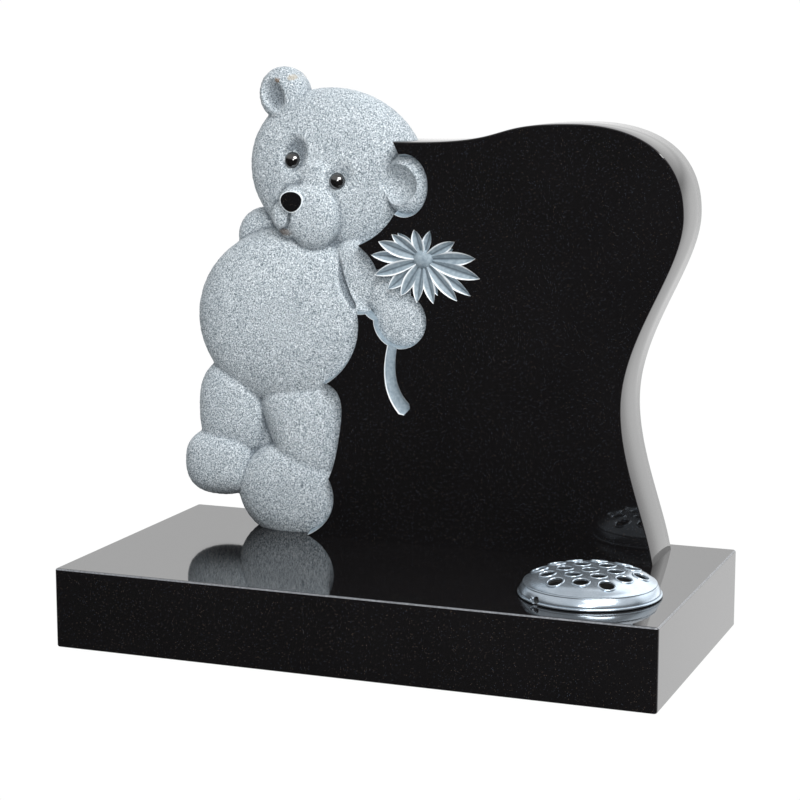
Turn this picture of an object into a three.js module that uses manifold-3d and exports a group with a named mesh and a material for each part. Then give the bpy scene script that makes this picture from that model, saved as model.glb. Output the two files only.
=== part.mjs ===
// A granite headstone: a polished tablet with a bear carved out of its left end, holding a daisy.
// It stands on a slab base, which has a flower pot let into it under a pierced metal lid.
// Millimetres, +X to the right, +Y to the back, +Z up. The origin is the middle of the underside.

import * as THREE from 'three';
import { mergeVertices } from 'three/addons/utils/BufferGeometryUtils.js';
import Module from 'manifold-3d';

const wasm = await Module();
wasm.setup();

// Base slab
const BASE_WIDTH = 610;
const BASE_DEPTH = 320;
const BASE_HEIGHT = 80;
const BASE_ARRIS = 2.5;

// Tablet: its front face lies FACE_SETBACK behind the middle of the base
const STONE_THICKNESS = 75;
const FACE_SETBACK = 62;
const STONE_ARRIS = 1.2;

// Tablet outline, x and height above the base, with the reach of each curve's handles
const FOOT = { x: 242.5, lean: 7.5, above: 43.6 };
const WAIST = { x: 207, z: 155.6, below: 55, above: 72 };
const HUMP = { x: 266.4, z: 344.3, below: 53.5, above: 65 };
const CREST = { x: 155, z: 432.8, right: 60, left: 96 };
const DIP = { x: -26, z: 412.3, right: 125 };
const INNER_LEFT = -130;      // the tablet's left end is buried in the bear

// Carving
const GROOVE_DEPTH = 9;       // how far a sunk form's edge lies below its own top
const PILLOW = 2.6;           // exponent of the rounded relief, 2 is an ellipsoid
const BACK_ROUND = 22;        // how far the outline draws in towards the flat back
const OVERCUT = 2;            // how far cutters stand out of the face

// Flower, at its boss, with its petal tips on a tilted ellipse
const FLOWER = { x: -3, z: 295 };
const PETALS = 15;
const PETAL_RING = { x: 1.6, z: -9.7, halfWidth: 56, halfHeight: 37.5, tilt: -0.196, start: 1.86 };
const PETAL_HALF_WIDTH = 7.5;
const PETAL_EDGE = 2.2;       // bevel from a petal's crest down to its edge
const PETAL_TOP = 1.8;        // depth of the front petals' crests below the face
const REAR_DROP = 0.9;        // how much deeper the rear petals lie
const FLOWER_CUT = 3.5;       // how far the ground round petals and stem lies below their crests
const FLOWER_MARGIN = 1.4;    // width of that ground
const BOSS_RADIUS = 10.5;
const STEM_HALF = { start: 5, end: 8 };
const STEM_TOP = 0.4;
const ROOT_DEPTH = STONE_THICKNESS / 3;
const MOUTH_HALF = { start: 1.2, end: 2.4 };
const MOUTH_DEPTH = 10;

// Flower pot and lid, both turned about one upright axis
const POT_X = 214.7;
const POT_Y = -66;
const WELL_RADIUS = 55.5;
const POT_RADIUS = 54;
const POT_DEPTH = 71;
const METAL = 1.5;
const FLANGE_RADIUS = 67.5;
const FIT_GAP = 0.3;
const LID_RADIUS = 68.3;
const LID_RIM_TOP = 8;        // heights above the base
const LID_RIDGE = 12.2;
const LID_BEAD_TOP = 5.2;
const LID_DOME_RADIUS = 66;
const LID_DOME_END = 61.5;
const LID_DOME_RISE = 15.4;
const LID_DOME_POWER = 5.2;
const HOLE_PITCH = 24.2;
const HOLE_RADIUS = 6.6;
const HOLE_RINGS = 2;
const HOLE_TURN = 0.08;
const NOTCH_ANGLE = -2.13;
const NOTCH_WIDTH = 5;
const NOTCH_HEIGHT = 4.5;

const granite = new THREE.MeshStandardMaterial({ color: 0x121214, roughness: 0.08, metalness: 0 });
const carvedGranite = new THREE.MeshStandardMaterial({ color: 0xa9b1b6, roughness: 0.8, metalness: 0 });
const potMetal = new THREE.MeshStandardMaterial({ color: 0x8f9296, roughness: 0.4, metalness: 1 });
const lidMetal = new THREE.MeshStandardMaterial({ color: 0xd6d8da, roughness: 0.2, metalness: 1 });

// A closed geometry as a solid, and back
function solid(geometry) {
  const bare = geometry.clone();
  bare.deleteAttribute('normal');
  bare.deleteAttribute('uv');
  const merged = mergeVertices(bare, 1e-4);
  return new wasm.Manifold(new wasm.Mesh({
    numProp: 3,
    vertProperties: new Float32Array(merged.attributes.position.array),
    triVerts: new Uint32Array(merged.index.array),
  }));
}

function geometryOf(body) {
  const mesh = body.getMesh();
  const geometry = new THREE.BufferGeometry();
  geometry.setAttribute('position', new THREE.BufferAttribute(mesh.vertProperties, 3));
  geometry.setIndex(new THREE.BufferAttribute(mesh.triVerts, 1));
  geometry.computeVertexNormals();
  return geometry;
}

function joined(bodies) {
  return bodies.reduce((whole, body) => whole.add(body));
}

function cut(body, cutters) {
  return cutters.reduce((rest, cutter) => rest.subtract(cutter), body);
}

function namedMesh(name, geometry, material, x, y, z) {
  const mesh = new THREE.Mesh(geometry, material);
  mesh.name = name;
  mesh.position.set(x, y, z);
  return mesh;
}

// An outline drawn in x and height, made solid from depth `front` to depth `back`
function slab(shape, front, back, bevel = 0, curveSegments = 12) {
  const geometry = new THREE.ExtrudeGeometry(shape, {
    depth: back - front - 2 * bevel,
    bevelEnabled: bevel > 0,
    bevelThickness: bevel,
    bevelSize: bevel,
    bevelOffset: -bevel,
    bevelSegments: 1,
    curveSegments,
  });
  geometry.rotateX(Math.PI / 2);
  geometry.translate(0, back - bevel, 0);
  return geometry;
}

// A profile of radius and depth turned about the depth axis
function turned(profile, segments) {
  const points = profile.map(([radius, depth]) => new THREE.Vector2(radius, depth));
  return new THREE.LatheGeometry(points, segments);
}

// The same about an upright axis, with the profile's second number as height
function turnedUpright(profile, segments) {
  return turned(profile, segments).rotateX(Math.PI / 2);
}

// Relief forms are pebbles: a rounded front whose highest point lies `top` below the face, widest
// `dome` deeper, and drawn in again towards the flat back at depth `back`. `half` gives half the
// width and height of the outline, and `tilt` turns it clockwise in degrees. `square` above 2 squares
// the outline off, and `taper` narrows it towards its foot.
function shapeOutline(geometry, square, taper) {
  const { position } = geometry.attributes;
  for (let i = 0; i < position.count; i += 1) {
    const x = position.getX(i);
    const z = position.getZ(i);
    const reach = Math.hypot(x, z);
    if (reach > 0) {
      const grow = (Math.abs(x / reach) ** square + Math.abs(z / reach) ** square) ** (-1 / square);
      position.setX(i, x * grow * (1 + taper * z * grow));
      position.setZ(i, z * grow);
    }
  }
}

function placed(geometry, form) {
  if (form.square) {
    shapeOutline(geometry, form.square, form.taper ?? 0);
  }
  geometry.scale(form.half[0], 1, form.half[1]);
  geometry.rotateY(THREE.MathUtils.degToRad(form.tilt ?? 0));
  geometry.translate(form.at[0], 0, form.at[1]);
  return geometry;
}

function pebble(form) {
  const { top, dome, steps = 5, sides = 24, back = STONE_THICKNESS } = form;
  const inset = Math.min(0.35, BACK_ROUND / Math.min(...form.half));
  const profile = [[0, top]];
  for (let i = 1; i <= steps; i += 1) {
    const turn = (i / steps) * (Math.PI / 2);
    const drop = 1 - Math.cos(turn) ** (2 / PILLOW);
    profile.push([Math.sin(turn) ** (2 / PILLOW), top + dome * drop]);
  }
  const backSteps = 2;
  for (let i = 1; i <= backSteps; i += 1) {
    const turn = (i / backSteps) * (Math.PI / 2);
    profile.push([1 - inset * (1 - Math.cos(turn)), top + dome + (back - top - dome) * Math.sin(turn)]);
  }
  profile.push([0, back]);
  return solid(placed(turned(profile, sides), form));
}

// Depth of a pebble's surface at a place on the face
function depthAt(form, x, z) {
  const reach = Math.hypot((x - form.at[0]) / form.half[0], (z - form.at[1]) / form.half[1]);
  return form.top + form.dome * (1 - (1 - Math.min(1, reach) ** PILLOW) ** (1 / PILLOW));
}

// The pocket in the face that a sunk pebble sits in, with a wall that slopes out by `sunk`
function pocket(form) {
  const { groove = GROOVE_DEPTH } = form;
  const bottom = form.top + groove;
  const inner = (1 - (1 - groove / form.dome) ** PILLOW) ** (1 / PILLOW);
  const slope = form.sunk / Math.min(...form.half) / bottom;
  const outer = inner + slope * (bottom + OVERCUT);
  const profile = [[0, -OVERCUT], [outer, -OVERCUT], [inner, bottom], [0, bottom]];
  return solid(placed(turned(profile, form.sides ?? 24), form));
}

// A bowl hollowed out of a form, from its rim at depth `top` to `dome` deeper
function bowl(form) {
  const steps = 4;
  const profile = [[0, -OVERCUT], [1.15, -OVERCUT]];
  for (let i = 0; i <= steps; i += 1) {
    const turn = (i / steps) * (Math.PI / 2);
    profile.push([i === steps ? 0 : Math.cos(turn), form.top + form.dome * Math.sin(turn)]);
  }
  return solid(placed(turned(profile, 16), form));
}

// The bear, from the head down
const bear = {
  head: {
    at: [-111, 379], half: [97, 85], tilt: 14, top: 13, dome: 31, sides: 32, steps: 6, sunk: 3, groove: 12,
  },
  leftEar: { at: [-168, 458], half: [26, 28], top: 20, dome: 16, sides: 20, steps: 4, back: 62 },
  rightEar: {
    at: [-21.5, 368.5], half: [26.5, 33], top: 3, dome: 20, sides: 20, steps: 4, sunk: 2, groove: 8,
  },
  bridge: { at: [-124, 370], half: [17, 24], tilt: 24, top: 8, dome: 12, sides: 14, steps: 3 },
  muzzle: { at: [-122, 334], half: [28, 36], tilt: -6, top: 1.2, dome: 17, sides: 20 },
  leftCheek: { at: [-156, 329], half: [18, 20], top: 3, dome: 16, sides: 14, steps: 4 },
  shoulder: { at: [-197, 308], half: [31, 31], top: 36, dome: 18, sides: 16, steps: 3 },
  chest: { at: [-118, 282], half: [62, 44], top: 20, dome: 24, sides: 20, steps: 4, sunk: 3 },
  belly: { at: [-158, 224], half: [110, 97], top: 1, dome: 40, sides: 36, steps: 7, sunk: 3 },
  arm: { at: [-78, 273], half: [29, 40], tilt: -28, top: 10, dome: 20, sides: 18, steps: 4, sunk: 2 },
  wrist: { at: [-42, 257], half: [30, 27], tilt: -40, top: 8, dome: 20, sides: 16, steps: 3, sunk: 2 },
  paw: { at: [-26, 231.5], half: [38, 38], top: 4, dome: 26, sides: 20, steps: 4, sunk: 1.5, groove: 5 },
  rightThigh: {
    at: [-135, 104], half: [49, 70], tilt: -5, square: 3, taper: 0.42, top: 5, dome: 34, sides: 22, sunk: 3,
  },
  lap: { at: [-188, 104], half: [32, 46], top: 24, dome: 14, sides: 10, steps: 3 },
  rightFoot: { at: [-155, 41], half: [66, 55], top: 1, dome: 36, sides: 28, sunk: 3 },
  leftThigh: { at: [-227, 124], half: [42, 54], square: 2.6, top: 11, dome: 32, sides: 20 },
  leftFoot: { at: [-241.5, 66], half: [41, 36], square: 2.5, top: 4, dome: 30, sides: 20 },
};
const hollows = [
  { at: [-176, 457], half: [16, 23], tilt: -30, top: 16, dome: 12 },
  { at: [-36, 369.5], half: [27, 21.5], top: 2, dome: 20 },
];
const eyes = [[-152, 390], [-100.5, 370]];
const EYE_RADIUS = 9.2;
const EYE_SINK = 3.5;         // how far an eye's centre lies below the head's surface
const NOSE = { x: -145.5, z: 349, halfWidth: 14, halfHeight: 10.3 };

function tabletShape() {
  const shape = new THREE.Shape();
  shape.moveTo(INNER_LEFT, 0);
  shape.lineTo(FOOT.x, 0);
  shape.bezierCurveTo(FOOT.x - FOOT.lean, FOOT.above, WAIST.x, WAIST.z - WAIST.below, WAIST.x, WAIST.z);
  shape.bezierCurveTo(WAIST.x, WAIST.z + WAIST.above, HUMP.x, HUMP.z - HUMP.below, HUMP.x, HUMP.z);
  shape.bezierCurveTo(HUMP.x, HUMP.z + HUMP.above, CREST.x + CREST.right, CREST.z, CREST.x, CREST.z);
  shape.bezierCurveTo(CREST.x - CREST.left, CREST.z, DIP.x + DIP.right, DIP.z, DIP.x, DIP.z);
  shape.lineTo(INNER_LEFT, DIP.z);
  shape.closePath();
  return shape;
}

// A band along a curve, tapering from one half-width to the other
function bandShape(curve, startHalf, endHalf, steps) {
  const left = [];
  const right = [];
  for (let i = 0; i <= steps; i += 1) {
    const at = i / steps;
    const point = curve.getPoint(at);
    const along = curve.getTangent(at);
    const half = THREE.MathUtils.lerp(startHalf, endHalf, at);
    const across = new THREE.Vector2(-along.y, along.x).multiplyScalar(half);
    left.push(point.clone().add(across));
    right.unshift(point.clone().sub(across));
  }
  return new THREE.Shape([...right, ...left]);
}

// A petal from the flower's centre to its tip, widest a little past the middle
function petalShape(tip, halfWidth, spare) {
  const long = tip.length() + spare;
  const shape = new THREE.Shape();
  shape.moveTo(0, -halfWidth * 0.4);
  shape.quadraticCurveTo(long * 0.62, -halfWidth * 1.9, long, 0);
  shape.quadraticCurveTo(long * 0.62, halfWidth * 1.9, 0, halfWidth * 0.4);
  shape.closePath();
  return shape;
}

function petalTips() {
  const { x, z, halfWidth, halfHeight, tilt, start } = PETAL_RING;
  return Array.from({ length: PETALS }, (_, i) => {
    const angle = start - (i * 2 * Math.PI) / PETALS;
    const tip = new THREE.Vector2(halfWidth * Math.cos(angle), halfHeight * Math.sin(angle));
    return tip.rotateAround(new THREE.Vector2(), tilt).add(new THREE.Vector2(x, z));
  });
}

// Petals alternate between a front and a slightly deeper rear layer
function flower() {
  const cuts = [];
  const petals = [];
  petalTips().forEach((tip, i) => {
    const layer = PETAL_TOP + REAR_DROP * (i % 2);
    const turn = -tip.angle();
    const ground = slab(petalShape(tip, PETAL_HALF_WIDTH + FLOWER_MARGIN, FLOWER_MARGIN * 2),
      -OVERCUT, FLOWER_CUT + layer, 0, 3);
    const petal = slab(petalShape(tip, PETAL_HALF_WIDTH, 0), layer, ROOT_DEPTH, PETAL_EDGE, 3);
    cuts.push(solid(ground.rotateY(turn).translate(FLOWER.x, 0, FLOWER.z)));
    petals.push(solid(petal.rotateY(turn).translate(FLOWER.x, 0, FLOWER.z)));
  });
  const boss = { at: [FLOWER.x, FLOWER.z], half: [BOSS_RADIUS, BOSS_RADIUS * 0.85], top: 0.2, dome: 6 };
  petals.push(pebble({ ...boss, sides: 16, steps: 3, back: ROOT_DEPTH }));
  return { cuts, petals };
}

function stem() {
  const route = new THREE.CubicBezierCurve(
    new THREE.Vector2(-33, 210),
    new THREE.Vector2(-41, 176),
    new THREE.Vector2(-36, 154),
    new THREE.Vector2(-18, 138),
  );
  const { start, end } = STEM_HALF;
  const ground = slab(bandShape(route, start + FLOWER_MARGIN, end + FLOWER_MARGIN, 6), -OVERCUT, FLOWER_CUT);
  const band = slab(bandShape(route, start, end, 6), STEM_TOP, ROOT_DEPTH, PETAL_EDGE);
  return { ground: solid(ground), band: solid(band) };
}

// The mouth: a line down from the nose that turns away under the left cheek
function mouth() {
  const route = new THREE.CubicBezierCurve(
    new THREE.Vector2(-148, 341),
    new THREE.Vector2(-151, 326),
    new THREE.Vector2(-154, 317),
    new THREE.Vector2(-166, 318.5),
  );
  return solid(slab(bandShape(route, MOUTH_HALF.start, MOUTH_HALF.end, 5), -OVERCUT, MOUTH_DEPTH));
}

function nose() {
  const { x, z, halfWidth, halfHeight } = NOSE;
  const shape = new THREE.Shape();
  shape.moveTo(x, z - halfHeight);
  shape.bezierCurveTo(x - halfWidth, z - halfHeight, x - halfWidth * 1.2, z + halfHeight, x, z + halfHeight);
  shape.bezierCurveTo(x + halfWidth * 1.2, z + halfHeight, x + halfWidth, z - halfHeight, x, z - halfHeight);
  return solid(slab(shape, 0, STONE_THICKNESS / 2, STONE_ARRIS, 6));
}

function eye([x, z]) {
  const ball = new THREE.SphereGeometry(EYE_RADIUS, 12, 8);
  ball.translate(x, depthAt(bear.head, x, z) + EYE_SINK, z);
  return solid(ball);
}

function headstone() {
  const forms = Object.values(bear);
  const tablet = solid(slab(tabletShape(), 0, STONE_THICKNESS, STONE_ARRIS));
  const pockets = forms.filter((form) => form.sunk).map(pocket);
  const carved = cut(joined([cut(tablet, pockets), ...forms.map(pebble)]), [...hollows.map(bowl), mouth()]);
  const daisy = flower();
  const stalk = stem();
  const held = cut(carved, [stalk.ground, ...daisy.cuts]);
  const whole = joined([held, stalk.band, ...daisy.petals, nose(), ...eyes.map(eye)]);
  const ground = new THREE.BoxGeometry(BASE_WIDTH * 2, BASE_DEPTH * 2, BASE_HEIGHT * 2);
  ground.translate(0, 0, -BASE_HEIGHT);
  return geometryOf(whole.subtract(solid(ground)));
}

// A rectangle with its corners and edges taken off, drilled for the pot
function baseSlab() {
  const w = BASE_WIDTH / 2;
  const d = BASE_DEPTH / 2;
  const c = BASE_ARRIS;
  const shape = new THREE.Shape();
  shape.moveTo(c - w, -d);
  shape.lineTo(w - c, -d);
  shape.lineTo(w, c - d);
  shape.lineTo(w, d - c);
  shape.lineTo(w - c, d);
  shape.lineTo(c - w, d);
  shape.lineTo(-w, d - c);
  shape.lineTo(-w, c - d);
  shape.closePath();
  const well = new THREE.Path();
  well.absarc(POT_X, POT_Y, WELL_RADIUS, 0, 2 * Math.PI, true);
  shape.holes.push(well);
  const geometry = new THREE.ExtrudeGeometry(shape, {
    depth: BASE_HEIGHT - 2 * c,
    bevelThickness: c,
    bevelSize: c,
    bevelOffset: -c,
    bevelSegments: 1,
    curveSegments: 16,
  });
  return geometry.translate(0, 0, c);
}

// A cup with a flange, from its floor up; heights from the base's top
function flowerPot() {
  const inner = POT_RADIUS - METAL;
  const profile = [
    [0, -POT_DEPTH],
    [POT_RADIUS, -POT_DEPTH],
    [POT_RADIUS, 0],
    [FLANGE_RADIUS, 0],
    [FLANGE_RADIUS, METAL],
    [inner, METAL],
    [inner, METAL - POT_DEPTH],
    [0, METAL - POT_DEPTH],
  ];
  return turnedUpright(profile, 28);
}

function lidProfile() {
  const domeSteps = 5;
  const domeHeight = (r) => LID_RIM_TOP + LID_DOME_RISE * (1 - (r / LID_DOME_RADIUS) ** LID_DOME_POWER);
  const outside = [];
  for (let i = 0; i <= domeSteps; i += 1) {
    const r = LID_DOME_END * (i / domeSteps) ** 0.6;
    outside.push([r, domeHeight(r)]);
  }
  const inside = outside.map(([r, z]) => [r * (1 - METAL / LID_DOME_END), z - METAL]);
  const rimBottom = METAL + FIT_GAP;
  const rim = [
    [LID_DOME_END, LID_RIDGE - METAL],
    [LID_RADIUS - 2 * METAL, LID_BEAD_TOP - METAL],
    [LID_RADIUS - 2 * METAL, rimBottom],
    [LID_RADIUS, rimBottom],
    [LID_RADIUS, LID_BEAD_TOP - METAL / 2],
    [LID_RADIUS - METAL, LID_BEAD_TOP],
    [LID_DOME_END + METAL, LID_RIDGE],
  ];
  return [...inside, ...rim, ...outside.reverse()];
}

// Holes on a triangular grid: one in the middle and two rings about it
function holePlaces() {
  const places = [];
  for (let row = -HOLE_RINGS; row <= HOLE_RINGS; row += 1) {
    for (let step = -HOLE_RINGS; step <= HOLE_RINGS; step += 1) {
      if (Math.abs(row + step) <= HOLE_RINGS) {
        const place = new THREE.Vector2(step + row / 2, row * Math.sqrt(0.75)).multiplyScalar(HOLE_PITCH);
        places.push(place.rotateAround(new THREE.Vector2(), HOLE_TURN));
      }
    }
  }
  return places;
}

function potLid() {
  const tall = 2 * (LID_RIM_TOP + LID_DOME_RISE);
  const holes = holePlaces().map((place) => {
    const drill = new THREE.CylinderGeometry(HOLE_RADIUS, HOLE_RADIUS, tall, 10);
    return solid(drill.rotateX(Math.PI / 2).translate(place.x, place.y, tall / 2));
  });
  const notch = new THREE.BoxGeometry(6 * METAL, NOTCH_WIDTH, 2 * NOTCH_HEIGHT);
  notch.translate(LID_RADIUS, 0, METAL).rotateZ(NOTCH_ANGLE);
  return geometryOf(cut(solid(turnedUpright(lidProfile(), 32)), [...holes, solid(notch)]));
}

const root = new THREE.Group();
root.add(namedMesh('base_slab', baseSlab(), granite, 0, 0, 0));
root.add(namedMesh('headstone', headstone(), carvedGranite, 0, FACE_SETBACK, BASE_HEIGHT));
root.add(namedMesh('flower_pot', flowerPot(), potMetal, POT_X, POT_Y, BASE_HEIGHT));
root.add(namedMesh('pot_lid', potLid(), lidMetal, POT_X, POT_Y, BASE_HEIGHT));

export default root;
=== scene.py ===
import math

import bpy
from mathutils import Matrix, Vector
from mathutils.geometry import interpolate_bezier


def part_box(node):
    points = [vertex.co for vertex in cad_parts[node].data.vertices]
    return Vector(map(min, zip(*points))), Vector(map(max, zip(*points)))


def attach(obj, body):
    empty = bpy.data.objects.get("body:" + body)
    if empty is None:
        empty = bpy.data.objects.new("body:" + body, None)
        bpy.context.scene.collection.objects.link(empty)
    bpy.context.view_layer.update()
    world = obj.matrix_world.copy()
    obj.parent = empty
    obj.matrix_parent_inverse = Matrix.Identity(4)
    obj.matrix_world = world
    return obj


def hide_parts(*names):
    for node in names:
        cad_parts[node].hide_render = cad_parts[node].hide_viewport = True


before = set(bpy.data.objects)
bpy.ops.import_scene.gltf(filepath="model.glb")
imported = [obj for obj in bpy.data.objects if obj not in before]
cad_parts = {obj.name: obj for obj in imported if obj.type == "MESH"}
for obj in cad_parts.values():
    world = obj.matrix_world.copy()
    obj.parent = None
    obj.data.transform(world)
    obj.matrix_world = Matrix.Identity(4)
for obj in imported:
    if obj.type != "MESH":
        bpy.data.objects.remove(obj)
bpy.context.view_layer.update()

mm = 0.001

# the stone's own corner: x along the tablet, depth behind the polished face, height above the base
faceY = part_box("headstone")[0][1]
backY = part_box("headstone")[1][1]
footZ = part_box("headstone")[0][2]
stoneThickness = backY - faceY

# the upright axis of pot and lid
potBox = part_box("flower_pot")
potMiddle = ((potBox[0][0] + potBox[1][0]) / 2, (potBox[0][1] + potBox[1][1]) / 2)

# material slots every stone mesh shares
polishedSlot, peckedSlot, frostedSlot, bruisedSlot, glassySlot = range(5)


# shader maths

class Wire:
    def __init__(self, finish, socket):
        self.finish = finish
        self.socket = socket

    def maths(self, operation, first, second):
        return self.finish.node("ShaderNodeMath", {"operation": operation}, {0: first, 1: second})

    def __add__(self, other):
        return self.maths("ADD", self, other)

    def __sub__(self, other):
        return self.maths("SUBTRACT", self, other)

    def __rsub__(self, other):
        return self.maths("SUBTRACT", other, self)

    def __mul__(self, other):
        return self.maths("MULTIPLY", self, other)

    def __truediv__(self, other):
        return self.maths("DIVIDE", self, other)

    def __pow__(self, other):
        return self.maths("POWER", self, other)

    __radd__ = __add__
    __rmul__ = __mul__


class Finish:
    def __init__(self, name):
        self.owner = bpy.data.materials.new(name)
        self.owner.use_nodes = True
        self.tree = self.owner.node_tree
        self.shader = self.tree.nodes["Principled BSDF"]
        self.place = self.node("ShaderNodeTexCoord", {}, {}, "Object")

    def node(self, kind, settings, inputs, out=0):
        made = self.tree.nodes.new(kind)
        for key, value in settings.items():
            if key == "stops":
                self.setStops(made.color_ramp, value)
            else:
                setattr(made, key, value)
        for key, value in inputs.items():
            self.fill(made.inputs[key], value)
        return Wire(self, made.outputs[out])

    def setStops(self, ramp, stops):
        while len(ramp.elements) < len(stops):
            ramp.elements.new(1.0)
        for element, (position, colour) in zip(ramp.elements, stops):
            element.position = position
            element.color = (*colour, 1.0)

    def fill(self, socket, value):
        if isinstance(value, Wire):
            self.tree.links.new(value.socket, socket)
        elif isinstance(value, tuple) and len(value) == 3 and socket.type == "RGBA":
            socket.default_value = (*value, 1.0)
        else:
            socket.default_value = value

    def feed(self, **sockets):
        for key, value in sockets.items():
            words = "".join(" " + c if c.isupper() else c for c in key)
            self.fill(self.shader.inputs[words.title().replace("Ior", "IOR").strip()], value)
        return self.owner

    def noise(self, scale, detail=3.0, roughness=0.55):
        inputs = {"Vector": self.place, "Scale": scale, "Detail": detail, "Roughness": roughness}
        return self.node("ShaderNodeTexNoise", {}, inputs, "Fac")

    def cells(self, scale, out="Distance"):
        return self.node("ShaderNodeTexVoronoi", {}, {"Vector": self.place, "Scale": scale}, out)

    def ramp(self, value, stops):
        return self.node("ShaderNodeValToRGB", {"stops": stops}, {"Fac": value}, "Color")

    def blend(self, factor, first, second, how="MIX"):
        settings = {"data_type": "RGBA", "blend_type": how}
        return self.node("ShaderNodeMix", settings, {0: factor, 6: first, 7: second}, 2)

    def step(self, value, low, high, start=0.0, end=1.0):
        settings = {"interpolation_type": "SMOOTHSTEP"}
        inputs = {"Value": value, 1: low, 2: high, 3: start, 4: end}
        return self.node("ShaderNodeMapRange", settings, inputs)

    def bump(self, height, strength, distance):
        inputs = {"Height": height, "Strength": strength, "Distance": distance}
        return self.node("ShaderNodeBump", {}, inputs)

    def axis(self, letter):
        return self.node("ShaderNodeSeparateXYZ", {}, {0: self.place}, letter)


# the same nodes in the world's tree, by direction
class Sky(Finish):
    def __init__(self, name):
        self.owner = bpy.data.worlds.new(name)
        self.owner.use_nodes = True
        self.tree = self.owner.node_tree
        self.shader = self.tree.nodes["Background"]
        self.place = self.node("ShaderNodeTexCoord", {}, {}, "Generated")


# modelling helpers

def deselectAll():
    bpy.ops.object.select_all(action="DESELECT")


def makeActive(obj):
    deselectAll()
    obj.select_set(True)
    bpy.context.view_layer.objects.active = obj


def editAll(obj):
    makeActive(obj)
    bpy.ops.object.mode_set(mode="EDIT")
    bpy.ops.mesh.select_all(action="SELECT")


def leaveEdit():
    bpy.ops.object.mode_set(mode="OBJECT")


def applyModifier(obj, kind, **settings):
    makeActive(obj)
    made = obj.modifiers.new(kind.title(), kind)
    for key, value in settings.items():
        setattr(made, key, value)
    bpy.ops.object.modifier_apply(modifier=made.name)


def combine(obj, other, operation):
    applyModifier(obj, "BOOLEAN", object=other, operation=operation, solver="MANIFOLD")
    bpy.data.objects.remove(other, do_unlink=True)


def joinAll(objects, name):
    deselectAll()
    for obj in objects:
        obj.select_set(True)
    bpy.context.view_layer.objects.active = objects[0]
    bpy.ops.object.join()
    objects[0].name = name
    return objects[0]


def fuse(objects):
    whole = objects[0]
    for other in objects[1:]:
        combine(whole, other, "UNION")
    return whole


def applyPlace(obj):
    makeActive(obj)
    bpy.ops.object.transform_apply(location=True, rotation=True, scale=True)


def lineObject(name, points):
    mesh = bpy.data.meshes.new(name)
    mesh.from_pydata(points, [(i, i + 1) for i in range(len(points) - 1)], [])
    obj = bpy.data.objects.new(name, mesh)
    bpy.context.collection.objects.link(obj)
    return obj


# a profile of (radius, along) turned about the depth axis or the upright axis
def turnProfile(name, profile, steps, upright=False):
    obj = lineObject(name, [(r, 0, a) if upright else (r, a, 0) for r, a in profile])
    editAll(obj)
    axis = (0, 0, 1) if upright else (0, 1, 0)
    bpy.ops.mesh.spin(steps=steps, angle=2 * math.pi, center=(0, 0, 0), axis=axis)
    bpy.ops.mesh.select_all(action="SELECT")
    bpy.ops.mesh.remove_doubles(threshold=1e-6)
    bpy.ops.mesh.normals_make_consistent(inside=False)
    leaveEdit()
    return obj


def setSlots(obj, materials, slot):
    obj.data.materials.clear()
    for material in materials:
        obj.data.materials.append(material)
    obj.data.polygons.foreach_set("material_index", [slot] * len(obj.data.polygons))


def triangles(obj):
    return sum(len(face.vertices) - 2 for face in obj.data.polygons)


# finishes

def polishedGranite(name, ior=1.55):
    f = Finish(name)
    cell = f.cells(950.0, "Color")
    spread = f.cells(950.0, "Distance")
    luck = f.node("ShaderNodeSeparateColor", {}, {0: cell}, 0)
    hue = f.node("ShaderNodeSeparateColor", {}, {0: cell}, 1)
    speck = f.step(luck, 0.74, 0.96) * f.step(spread, 0.38, 0.14)
    cloud = f.noise(9.0, 2.0)
    speckColour = f.ramp(hue, [(0.0, (0.11, 0.08, 0.058)), (0.5, (0.052, 0.052, 0.056)),
                               (1.0, (0.046, 0.057, 0.08))])
    ground = f.ramp(cloud, [(0.0, (0.0045, 0.0042, 0.0045)), (1.0, (0.0075, 0.007, 0.0075))])
    colour = f.blend(speck, ground, speckColour)
    rough = 0.035 + 0.03 * f.noise(14.0, 2.0)
    return f.feed(baseColor=colour, roughness=rough, ior=ior)


# iron spots on the left ear, and painted shade of the mouth on the dark lower lip: place, half-size, tint,
# strength
stainsAndMouthShade = [
    ((-169.5, 472), (4.2, 3.4), (0.17, 0.10, 0.05), 0.8),
    ((-154, 475), (6.0, 4.0), (0.52, 0.43, 0.30), 0.5),
    # painted shade in the mouth under the left lobe, brown with the grime there
    ((-157, 316.5), (11, 5), (0.10, 0.075, 0.06), 0.8),
]


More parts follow.
